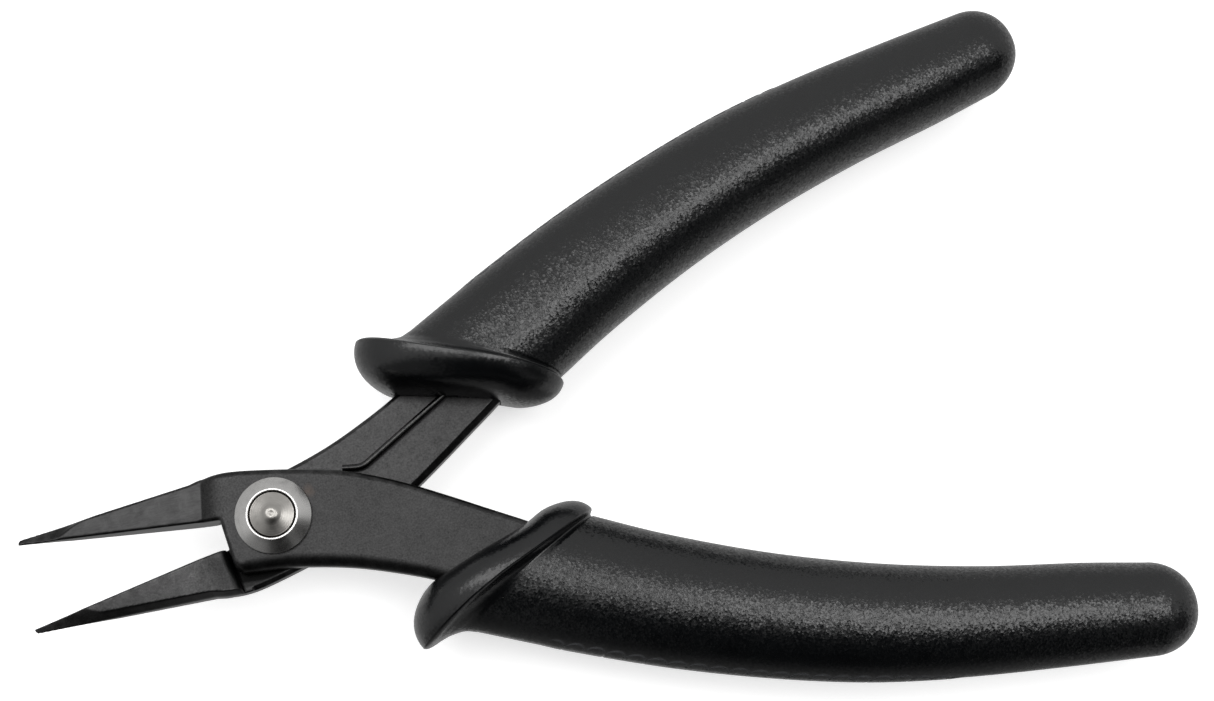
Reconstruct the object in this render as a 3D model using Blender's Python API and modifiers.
"""Fine-nose micro pliers: two lapped steel arms on one pivot, a wire return
spring and two moulded grips.

Frame (metres, +Z up): origin on the pivot axis, at the outer face of the
pivot screw's head.  +Z runs along the pivot axis towards the nut.  +X runs
from the pivot towards the handle ends, parallel to the bisector of the
handles; the nose points to -X.  The pliers rest open by 2 * HALF_OPEN.  The
pieces are drawn with z = 0 in the plane where the two arms meet, and lifted
at the end.  The front arm is the one on the nut's side.

The arms and grips are drawn as the front arm's, in the closed pose: jaw
towards +Y, handle towards -Y.  The rear arm's are the same, turned over.
"""
import math

import bmesh
import bpy
import numpy as np
from mathutils import Matrix, Vector

# ------------------------------------------------ sizes (mm, unless noted)
MM = 0.001                         # metres in a millimetre
HALF_OPEN = math.radians(9.55)     # each arm is turned this far from closed
PIVOT_RISE = 0.45                  # pivot axis above the bisector of the arms
PLATE_T = 3.0                      # thickness of one arm's plate
LAP_GAP = 0.05                     # half of the running gap between the arms
PIN_R = 2.70                       # pivot screw, plain shank
BORE_CLEAR = 0.06                  # radial running clearance in the arms
FACE_GAP = 0.10                    # under the nut and the head
FACE_Z = PLATE_T + FACE_GAP        # seat of the nut, and of the head below
HEAD_H = 1.25                      # height of the screw's head
TURN_STEPS = 48                    # facets around a turned piece


# ------------------------------------------------------------------- scene
for old in list(bpy.data.objects):
    bpy.data.objects.remove(old, do_unlink=True)
PARTS = bpy.data.collections.new("fine_nose_pliers")
CUTTERS = bpy.data.collections.new("cutters")
bpy.context.scene.collection.children.link(PARTS)
bpy.context.scene.collection.children.link(CUTTERS)


# --------------------------------------------------------------- materials
def material(name, color, roughness, metallic):
    mat = bpy.data.materials.new(name)
    mat.use_nodes = True
    inputs = mat.node_tree.nodes["Principled BSDF"].inputs
    inputs["Base Color"].default_value = (*color, 1)
    inputs["Roughness"].default_value = roughness
    inputs["Metallic"].default_value = metallic
    return mat


FRONT_STEEL = material("black_oxide_steel",
                       color=(0.075, 0.075, 0.077), roughness=0.42, metallic=0.85)
REAR_STEEL = material("black_oxide_steel_rear",
                      color=(0.070, 0.070, 0.072), roughness=0.42, metallic=0.85)
NUT_STEEL = material("polished_steel",
                     color=(0.50, 0.49, 0.47), roughness=0.22, metallic=1.0)
SCREW_STEEL = material("turned_steel",
                       color=(0.22, 0.20, 0.17), roughness=0.35, metallic=1.0)
WIRE_STEEL = material("spring_wire",
                      color=(0.05, 0.05, 0.05), roughness=0.25, metallic=0.9)
LOWER_PLASTIC = material("grip_plastic_lower",
                         color=(0.012, 0.012, 0.013), roughness=0.45, metallic=0.0)
UPPER_PLASTIC = material("grip_plastic_upper",
                         color=(0.012, 0.012, 0.013), roughness=0.45, metallic=0.0)


# ------------------------------------------------------------ 2-D outlines
def unit(vector):
    return vector / np.linalg.norm(vector)


def blend(a, b, time_a, time_b, time):
    """The point at a time on the line from a (at time_a) to b (at time_b)."""
    span = time_b - time_a
    return (time_b - time) / span * a + (time - time_a) / span * b


def spline(points, per_span):
    """Centripetal Catmull-Rom through the points, ends included."""
    knots = [np.array(point, float) for point in points]
    knots = [2 * knots[0] - knots[1]] + knots + [2 * knots[-1] - knots[-2]]
    out = []
    for i in range(1, len(knots) - 2):
        a, b, c, d = knots[i - 1:i + 3]
        t = [0.0]
        for start, end in ((a, b), (b, c), (c, d)):
            t.append(t[-1] + max(np.linalg.norm(end - start), 1e-9) ** 0.5)
        for k in range(per_span):
            time = t[1] + (t[2] - t[1]) * k / per_span
            ab = blend(a, b, t[0], t[1], time)
            bc = blend(b, c, t[1], t[2], time)
            cd = blend(c, d, t[2], t[3], time)
            abc = blend(ab, bc, t[0], t[2], time)
            bcd = blend(bc, cd, t[1], t[3], time)
            out.append(blend(abc, bcd, t[1], t[2], time))
    out.append(knots[-2])
    return out


def resampled(points, count):
    """Points evenly spaced by length along the spline through the points."""
    dense = np.array(spline(points, 8))
    steps = np.linalg.norm(np.diff(dense, axis=0), axis=1)
    length = np.r_[0, np.cumsum(steps)]
    wanted = np.linspace(0, length[-1], count)
    return np.c_[np.interp(wanted, length, dense[:, 0]),
                 np.interp(wanted, length, dense[:, 1])]


def fillet(before, corner, after, radius, segments):
    """Points of a circular fillet at a corner of a polyline."""
    corner = np.array(corner, float)
    to_before = unit(np.array(before, float) - corner)
    to_after = unit(np.array(after, float) - corner)
    half = 0.5 * math.acos(max(-1, min(1, float(to_before @ to_after))))
    tangent = radius / math.tan(half)
    centre = corner + unit(to_before + to_after) * radius / math.sin(half)
    first = corner + to_before * tangent - centre
    last = corner + to_after * tangent - centre
    sweep = math.acos(max(-1, min(1, float(first @ last) / radius ** 2)))
    out = []
    for k in range(segments + 1):
        w = k / segments
        spoke = math.sin((1 - w) * sweep) * first + math.sin(w * sweep) * last
        out.append(centre + spoke / math.sin(sweep))
    return out


def grown(points, distance):
    """A closed clockwise outline moved outwards."""
    out = []
    for i, point in enumerate(points):
        along = points[(i + 1) % len(points)] - points[i - 1]
        along /= max(np.linalg.norm(along), 1e-9)
        out.append(point + distance * np.array((-along[1], along[0])))
    return out


# ------------------------------------------------------------------ solids
def add_poly(curve, points, cyclic=False):
    """Add a polyline through (x, y, z) points (mm) to a curve."""
    poly = curve.splines.new('POLY')
    poly.points.add(len(points) - 1)
    for target, (x, y, z) in zip(poly.points, points):
        target.co = (x * MM, y * MM, z * MM, 1)
    poly.use_cyclic_u = cyclic


def curve_to_mesh(source, name):
    """A curve object as a welded mesh object in its place."""
    bpy.context.scene.collection.objects.link(source)
    bpy.context.view_layer.update()
    graph = bpy.context.evaluated_depsgraph_get()
    mesh = bpy.data.meshes.new_from_object(source.evaluated_get(graph))
    bm = bmesh.new()
    bm.from_mesh(mesh)
    bmesh.ops.remove_doubles(bm, verts=bm.verts, dist=1e-6)
    bmesh.ops.recalc_face_normals(bm, faces=bm.faces)
    bm.to_mesh(mesh)
    bm.free()
    world = source.matrix_world.copy()
    bpy.data.objects.remove(source, do_unlink=True)
    mesh.name = name
    solid = bpy.data.objects.new(name, mesh)
    solid.matrix_world = world
    return solid


def slab(name, outline, z0, z1):
    """A flat outline (mm) extruded from z0 to z1."""
    curve = bpy.data.curves.new(name, 'CURVE')
    curve.dimensions = '2D'
    curve.fill_mode = 'BOTH'
    curve.extrude = 0.5 * (z1 - z0) * MM
    add_poly(curve, [(x, y, 0) for x, y in outline], cyclic=True)
    source = bpy.data.objects.new(name, curve)
    source.location.z = 0.5 * (z0 + z1) * MM
    return curve_to_mesh(source, name)


def side_slab(name, outline_xz, y0, y1):
    """An outline in x and z (mm) extruded across y."""
    solid = slab(name, outline_xz, -y1, -y0)
    solid.data.transform(solid.matrix_world)
    solid.matrix_world = Matrix.Rotation(math.pi / 2, 4, 'X')
    return solid


def wire(name, points, radius):
    """A round wire through points (mm)."""
    curve = bpy.data.curves.new(name, 'CURVE')
    curve.dimensions = '3D'
    curve.bevel_depth = radius * MM
    curve.bevel_resolution = 2
    curve.use_fill_caps = True
    add_poly(curve, points)
    return curve_to_mesh(bpy.data.objects.new(name, curve), name)


def turned(name, profile):
    """A solid of revolution from a (radius, height) profile in mm; the
    profile is closed into a ring unless it starts on the axis."""
    mesh = bpy.data.meshes.new(name)
    bm = bmesh.new()
    verts = [bm.verts.new((radius * MM, 0, z * MM)) for radius, z in profile]
    on_axis = profile[0][0] == 0
    for pair in zip(verts, verts[1:] + ([] if on_axis else [verts[0]])):
        bm.edges.new(pair)
    bm.to_mesh(mesh)
    bm.free()
    solid = bpy.data.objects.new(name, mesh)
    turn = solid.modifiers.new("turn", 'SCREW')
    turn.axis = 'Z'
    turn.steps = turn.render_steps = TURN_STEPS
    turn.use_merge_vertices = True
    turn.merge_threshold = 0.00001
    return solid


def loft(name, sections):
    """A solid through closed sections (mm) of equal point counts."""
    bm = bmesh.new()
    rings = [[bm.verts.new([c * MM for c in point]) for point in section]
             for section in sections]
    for a, b in zip(rings, rings[1:]):
        for k in range(len(a)):
            after = (k + 1) % len(a)
            bm.faces.new((a[k], a[after], b[after], b[k]))
    bm.faces.new(rings[0][::-1])
    bm.faces.new(rings[-1])
    bmesh.ops.recalc_face_normals(bm, faces=bm.faces)
    mesh = bpy.data.meshes.new(name)
    bm.to_mesh(mesh)
    bm.free()
    return bpy.data.objects.new(name, mesh)


def bake(solid):
    """Apply an object's modifiers and its placement to its mesh."""
    if not solid.users_collection:
        bpy.context.scene.collection.objects.link(solid)
    bpy.context.view_layer.update()
    graph = bpy.context.evaluated_depsgraph_get()
    mesh = bpy.data.meshes.new_from_object(solid.evaluated_get(graph))
    mesh.transform(solid.matrix_world)
    solid.modifiers.clear()
    solid.data = mesh
    solid.matrix_world = Matrix.Identity(4)


def move_to(solid, collection):
    for old in list(solid.users_collection):
        old.objects.unlink(solid)
    collection.objects.link(solid)


def add_part(solid, mat):
    move_to(solid, PARTS)
    solid.data.materials.clear()
    solid.data.materials.append(mat)


def add_cutter(solid):
    move_to(solid, CUTTERS)
    solid.hide_render = True
    solid.display_type = 'WIRE'
    return solid


def cut(solid, cutter):
    boolean = solid.modifiers.new(cutter.name, 'BOOLEAN')
    boolean.operation = 'DIFFERENCE'
    boolean.solver = 'EXACT'
    boolean.object = cutter


def placement(rear, slide=(0, 0)):
    """Closed pose to the open pose at rest; the rear arm is turned over."""
    pose = Matrix.Translation((0, -PIVOT_RISE * MM, 0))
    pose @= Matrix.Rotation(HALF_OPEN if rear else -HALF_OPEN, 4, 'Z')
    if rear:
        pose @= Matrix.Rotation(math.pi, 4, 'X')
    return pose @ Matrix.Translation((slide[0] * MM, slide[1] * MM, 0))


# ---------------------------------------------------------------- the arms
NOSE_TIP_X = -28.9                 # nose tip, from the pivot
NOSE_TIP_W = 0.60                  # width of one jaw at its tip
NOSE_TIP_SLOPE = 0.28              # the tip's upper corner stands back this far
NOSE_TIP_FLAT = 0.35               # upright part of the tip
NOSE_BASE_T = 2.25                 # half thickness at the start of the facets
NOSE_TIP_T = 0.62                  # half thickness of a jaw at its tip
FACET_X = -7.9                     # where the ground facets start
SHOULDER_X = -6.3                  # where the plate starts to slope to them
STEP_X = -6.35                     # wall between jaw and lapped plate
GRIP_LINE = 0.01                   # half gap between the closed jaws at the tip
# root of the gripping face, which stands back from the closing line
GRIP_ROOT = (-9.0, 0.52)

# upper edge of the plate (x, y), from the nose to the handle end
TOP_EDGE = (
    (-9.5, 4.9), (-8.2, 5.4), (-6.5, 5.78), (-4.5, 5.95), (0, 5.80),
    (4.5, 5.45), (8, 4.95), (11, 4.2), (15, 2.9), (20, 0.9), (24, -0.8),
    (28, -2.5), (32, -4.4), (36, -6.4), (44, -9.8), (52, -12.4),
    (60, -14.3), (70, -15.9), (79, -16.5))
# lower edge of the plate (x, y), from the handle end to the notch
LOW_EDGE = (
    (79, -20.6), (70, -20.1), (60, -19.1), (50, -17.7), (40, -15.9),
    (32, -13.7), (24, -10.8), (17.5, -8.2), (12, -6.7), (8, -5.9),
    (3.3, -5.4), (0, -5.3), (-2.2, -5.45))
END_ARC_TRIM = 0.35                # radians left off each end of the end arc

# notch behind the gripping face: corners (x, y) and their fillet radii
NOTCH_LOW, NOTCH_LOW_R = (-4.50, -5.55), 1.15
NOTCH_TOP, NOTCH_TOP_R = (-6.12, 0.55), 0.18

# the tapers run on past the tip, to this x and this height off the lap plane
TAPER_END_X = -40
TAPER_END_Z = NOSE_TIP_T - 0.85
TAPER_FAR_Z = 8                    # tops of the taper cutters, clear of the jaw
# start of the back taper (x, z), from the step towards the tip
BACK_TAPER = ((STEP_X + 1, -1.55), (STEP_X - 0.25, -2.05), (STEP_X - 1.2, -2.42),
              (-9.6, -2.12))


def arm_outline(per_span):
    """The arm's outline, clockwise, closed pose of the front arm."""
    points = [np.array((NOSE_TIP_X + NOSE_TIP_SLOPE, GRIP_LINE + NOSE_TIP_W))]
    points += spline(TOP_EDGE, per_span)
    end_x, end_top = TOP_EDGE[-1]
    end_low = LOW_EDGE[0][1]
    middle = 0.5 * (end_top + end_low)
    radius = 0.5 * (end_top - end_low)
    points += [np.array((end_x + radius * math.sin(a), middle + radius * math.cos(a)))
               for a in np.linspace(END_ARC_TRIM, math.pi - END_ARC_TRIM, 6)]
    points += spline(LOW_EDGE, per_span)
    points += fillet(LOW_EDGE[-1], NOTCH_LOW, NOTCH_TOP, NOTCH_LOW_R, 4)
    points += fillet(NOTCH_LOW, NOTCH_TOP, GRIP_ROOT, NOTCH_TOP_R, 2)
    points += [np.array(GRIP_ROOT),
               np.array((NOSE_TIP_X, GRIP_LINE)),
               np.array((NOSE_TIP_X, GRIP_LINE + NOSE_TIP_FLAT))]
    return points


def closed_arm(name):
    """One arm, closed pose, front side up: full outline at full thickness,
    less the half the other arm laps over and less the tapers of the nose."""
    body = slab(name, arm_outline(3), -PLATE_T, PLATE_T)
    lap = slab(name + "_lap",
               ((STEP_X, -40), (STEP_X, 20), (100, 20), (100, -40)),
               -PLATE_T - 2, LAP_GAP)
    front = side_slab(name + "_front_taper",
                      ((SHOULDER_X, PLATE_T), (SHOULDER_X, TAPER_FAR_Z),
                       (TAPER_END_X, TAPER_FAR_Z), (TAPER_END_X, TAPER_END_Z),
                       (FACET_X, NOSE_BASE_T)), -30, 30)
    back = side_slab(name + "_back_taper",
                     (*BACK_TAPER, (TAPER_END_X, -TAPER_END_Z),
                      (TAPER_END_X, -TAPER_FAR_Z), (STEP_X + 1, -TAPER_FAR_Z)), -30, 30)
    for cutter in (lap, front, back):
        cut(body, add_cutter(cutter))
    bake(body)
    return body


def pivot_bore():
    radius = PIN_R + BORE_CLEAR
    return add_cutter(turned("pivot_bore", ((0, 9), (radius, 9), (radius, -9), (0, -9))))


bore = pivot_bore()
for arm_name, is_rear, steel in (("front_arm", False, FRONT_STEEL),
                                 ("rear_arm", True, REAR_STEEL)):
    arm = closed_arm(arm_name)
    arm.data.transform(placement(is_rear))
    cut(arm, bore)
    bake(arm)
    add_part(arm, steel)

# ------------------------------------------------------ the pivot hardware
NUT_R = 4.30                       # at the foot
NUT_LAND_R = 3.12                  # outer edge of the flat top
NUT_IN_R = 2.82
NUT_H = 1.62
NUT_RIM_H = 0.55                   # straight rim below the cone
HEAD_R = 3.90
HEAD_RIM_H = 0.55                  # straight rim of the head
HEAD_BEVEL = 0.75                  # inset of the head's outer face
PIN_TOP = FACE_Z + NUT_H - 0.22    # level the screw's end is measured from
# nut end of the screw: (radius, height above PIN_TOP)
PIN_CROWN = ((0, 0.92), (0.42, 0.86), (0.62, 0.66), (2.35, 0.18), (PIN_R, -0.08))


def pivot_nut():
    """A plain ring with a conical outside."""
    return turned("pivot_nut", (
        (NUT_LAND_R, FACE_Z + NUT_H), (NUT_R, FACE_Z + NUT_RIM_H), (NUT_R, FACE_Z),
        (NUT_IN_R, FACE_Z), (NUT_IN_R, FACE_Z + NUT_H)))


def pivot_screw():
    """A shank with a crowned end and a bevelled head."""
    crown = [(radius, PIN_TOP + height) for radius, height in PIN_CROWN]
    return turned("pivot_screw", crown + [
        (PIN_R, -FACE_Z), (HEAD_R, -FACE_Z), (HEAD_R, -FACE_Z - HEAD_RIM_H),
        (HEAD_R - HEAD_BEVEL, -FACE_Z - HEAD_H), (0, -FACE_Z - HEAD_H)])


add_part(pivot_nut(), NUT_STEEL)
add_part(pivot_screw(), SCREW_STEEL)

# ------------------------------------------------------- the spring's path
# rear arm's wire seen from +Z, closed pose, handle towards +Y: points (x, y)
WIRE_R = 0.38
WIRE_Z = 0.58                      # its centre above the lap plane
SPRING_HINGE = (27.9, 7.55)        # where the wire starts to flex
SPRING_BEND = (11.15, 1.95)        # bend above the foot
SPRING_FOOT = (9.05, 2.75)         # end of the foot
SPRING_TAIL = (41.0, 9.4)          # inner end, held beside the tang
LEG_STATIONS = (0.0, 0.35, 0.7, 0.93)  # fractions from hinge to bend
BEND_IN, BEND_OUT = 0.9, 0.7       # bend's reach along the leg and the foot
FOOT_START = 0.85                  # first point of the foot, from the bend
TAIL_STATIONS = (0.35, 4.0)        # straight on from the leg, behind the hinge


def spring_path():
    """The wire's leg and tail, not yet flexed, as lists of points."""
    hinge, bend, foot, tail_end = (
        np.array(q) for q in (SPRING_HINGE, SPRING_BEND, SPRING_FOOT, SPRING_TAIL))
    leg_way = unit(bend - hinge)
    foot_way = unit(foot - bend)
    leg = [hinge + (bend - hinge) * k for k in LEG_STATIONS]
    for k in range(1, 5):                                # the bend, a quadratic
        w = k / 5
        leg.append((1 - w) ** 2 * (bend - leg_way * BEND_IN) + 2 * w * (1 - w) * bend
                   + w * w * (bend + foot_way * BEND_OUT))
    leg += [bend + foot_way * FOOT_START, foot]
    tail = [hinge - leg_way * k for k in TAIL_STATIONS] + [tail_end]
    return [(x, y, WIRE_Z) for x, y in leg], [(x, y, WIRE_Z) for x, y in tail]


# --------------------------------------------------------------- the grips
AROUND = 28                        # facets around a grip
ALONG = 16                         # stations along a grip
GRIP_GAP = 0.15                    # between grip and tang
LOWER_SEAT = (-0.50, 0.15)         # how each grip is shifted on its tang (x, y)
UPPER_SEAT = (0.18, 0.10)

# edges of the grip (x, y) from the guard to the handle end; inner faces the
# other handle
GRIP_INNER = ((36.2, -2.6), (44, -5.3), (56, -8.6), (68, -10.9), (80, -12.3),
              (92, -13.0), (99.0, -13.6))
GRIP_OUTER = ((22.0, -14.4), (32, -17.4), (44, -20.5), (56, -22.8), (66, -24.1),
              (76, -24.6), (88, -24.6), (98.8, -24.4))
# (fraction of the way from guard to end, half thickness)
GRIP_HALF_T = ((0.0, 6.9), (0.25, 7.0), (0.6, 6.5), (1.0, 5.6))
GRIP_END = (104.45, -19.05)        # apex of the round end cap
CAP_ANGLES = (8, 24, 42, 60, 76)   # its sections, degrees from the apex
# powers of sine and cosine in a section; 1 is an ellipse, less is squarer
BODY_POWER, FLANGE_POWER = 0.88, 0.92

# guard flange in its own slanted frame: outer edge (along, across), inner edge
# (along, across) and half thickness, from the body to the face on the nose side
SLANT = math.atan2(0.631, 0.776)
FLANGE = (
    ((7.4, -24.3), (26.7, -24.3), 7.0), ((5.4, -23.35), (27.0, -23.7), 7.7),
    ((3.7, -22.85), (27.1, -23.15), 8.5), ((2.6, -22.2), (26.9, -22.6), 9.0),
    ((2.3, -21.3), (26.3, -22.0), 9.1), ((2.5, -20.3), (25.3, -21.45), 8.8),
    ((3.2, -19.4), (23.7, -20.85), 8.1), ((4.5, -18.55), (21.4, -20.15), 6.9),
    ((6.2, -18.05), (18.4, -19.3), 5.2), ((8.4, -17.85), (15.0, -18.5), 3.0))

# wedge-shaped room for the spring leg, widening from the hinge to the nose side
WIRE_ROOM = 0.2                    # clearance around the wire
SWING_BACK = 0.9                   # starts this far behind the hinge
SWING_REACH = 12                   # ends this far ahead of it
SWING_HALF_W = 1.1                 # half width at the hinge
SWING_OUT = math.radians(4)        # slope of the outer side
SWING_IN = math.radians(24)        # slope of the side towards the other handle
SWING_TOP_Z = 0.3


def grip_section(inner, outer, half, power):
    """One closed rounded section between an inner and an outer edge point."""
    middle = 0.5 * (inner + outer)
    reach = 0.5 * (inner - outer)
    out = []
    for k in range(AROUND):
        angle = 2 * math.pi * (k + 0.5) / AROUND
        across, depth = (math.copysign(abs(value) ** power, value)
                         for value in (math.cos(angle), math.sin(angle)))
        out.append((middle[0] + reach[0] * across, middle[1] + reach[1] * across,
                    half * depth))
    return out


def cap_sections(inner, outer):
    """The round end cap, from its apex to the last edge points of the body."""
    base = 0.5 * (inner + outer)
    out = []
    for degrees in CAP_ANGLES:
        size = math.sin(math.radians(degrees))
        middle = base + (np.array(GRIP_END) - base) * math.cos(math.radians(degrees))
        out.append(grip_section(middle + (inner - base) * size,
                                middle + (outer - base) * size,
                                GRIP_HALF_T[-1][1] * size, BODY_POWER))
    return out


def flange_sections():
    """The slanted guard flange and its crowned face on the nose side."""
    along = np.array((math.cos(SLANT), math.sin(SLANT)))
    across = np.array((-math.sin(SLANT), math.cos(SLANT)))
    return [grip_section(along * inner[0] + across * inner[1],
                         along * outer[0] + across * outer[1], half, FLANGE_POWER)
            for outer, inner, half in FLANGE]


def grip_body(name):
    """A solid grip, closed pose, lofted from end cap to guard flange."""
    inner = resampled(GRIP_INNER, ALONG)
    outer = resampled(GRIP_OUTER, ALONG)
    sections = cap_sections(inner[-1], outer[-1])
    for i in reversed(range(ALONG)):
        half = float(np.interp(i / (ALONG - 1), *zip(*GRIP_HALF_T)))
        sections.append(grip_section(inner[i], outer[i], half, BODY_POWER))
    return loft(name, sections + flange_sections())


def tang_pocket(name, seat):
    """The tang, grown by the fitting gap, as a cutter for the grip."""
    outline = [point - np.array(seat) for point in grown(arm_outline(2), GRIP_GAP)]
    return slab(name, outline, LAP_GAP - GRIP_GAP, PLATE_T + GRIP_GAP)


def spring_room():
    """Channel for the tail and the start of the leg, in the grip's frame."""
    leg, tail = spring_path()
    return wire("spring_room",
                [(x, -y, -z) for x, y, z in tail[::-1] + [leg[0], leg[3]]],
                WIRE_R + WIRE_ROOM)


def spring_swing():
    """Wedge the leg moves in, in the grip's frame."""
    hinge = np.array((SPRING_HINGE[0], -SPRING_HINGE[1]))
    offsets = ((SWING_BACK, SWING_HALF_W),
               (SWING_BACK, -SWING_HALF_W),
               (-SWING_REACH, -SWING_HALF_W - SWING_REACH * math.tan(SWING_OUT)),
               (-SWING_REACH, SWING_HALF_W + SWING_REACH * math.tan(SWING_IN)))
    return slab("spring_swing", [hinge + offset for offset in offsets],
                -WIRE_Z - WIRE_R - WIRE_ROOM, SWING_TOP_Z)


def add_grip(name, rear, seat, mat, rooms=()):
    """A grip with its tang pocket and any further rooms cut out, on its arm."""
    grip = grip_body(name)
    for cutter in (tang_pocket(name + "_pocket", seat), *rooms):
        cut(grip, add_cutter(cutter))
    bake(grip)
    grip.data.transform(placement(rear, seat))
    add_part(grip, mat)


add_grip("lower_grip", False, LOWER_SEAT, LOWER_PLASTIC)
# the upper grip is the same moulding turned over, with room for the wire
add_grip("upper_grip", True, UPPER_SEAT, UPPER_PLASTIC,
         rooms=(spring_room(), spring_swing()))


# ------------------------------------------------------- the return spring
def add_spring():
    """The leg, with its origin at the hinge, and the tail."""
    # the path is drawn the right way up, so the rear arm's turn is undone
    pose = placement(True) @ Matrix.Rotation(math.pi, 4, 'X')
    leg_path, tail_path = spring_path()
    leg = wire("spring_leg", leg_path, WIRE_R)
    tail = wire("spring_tail", tail_path, WIRE_R)
    hinge = Vector((SPRING_HINGE[0] * MM, SPRING_HINGE[1] * MM, WIRE_Z * MM))
    leg.data.transform(Matrix.Translation(-hinge))
    leg.matrix_world = pose @ Matrix.Translation(hinge)
    tail.matrix_world = pose
    add_part(leg, WIRE_STEEL)
    add_part(tail, WIRE_STEEL)


add_spring()

# ------------------------------------------------------- lift and shading
lift = Matrix.Translation((0, 0, (FACE_Z + HEAD_H) * MM))
for ob in list(PARTS.objects) + list(CUTTERS.objects):
    ob.matrix_world = lift @ ob.matrix_world
for ob in PARTS.objects:
    ob.data.shade_smooth()
    ob.data.set_sharp_from_angle(angle=math.radians(35))
bpy.context.view_layer.update()
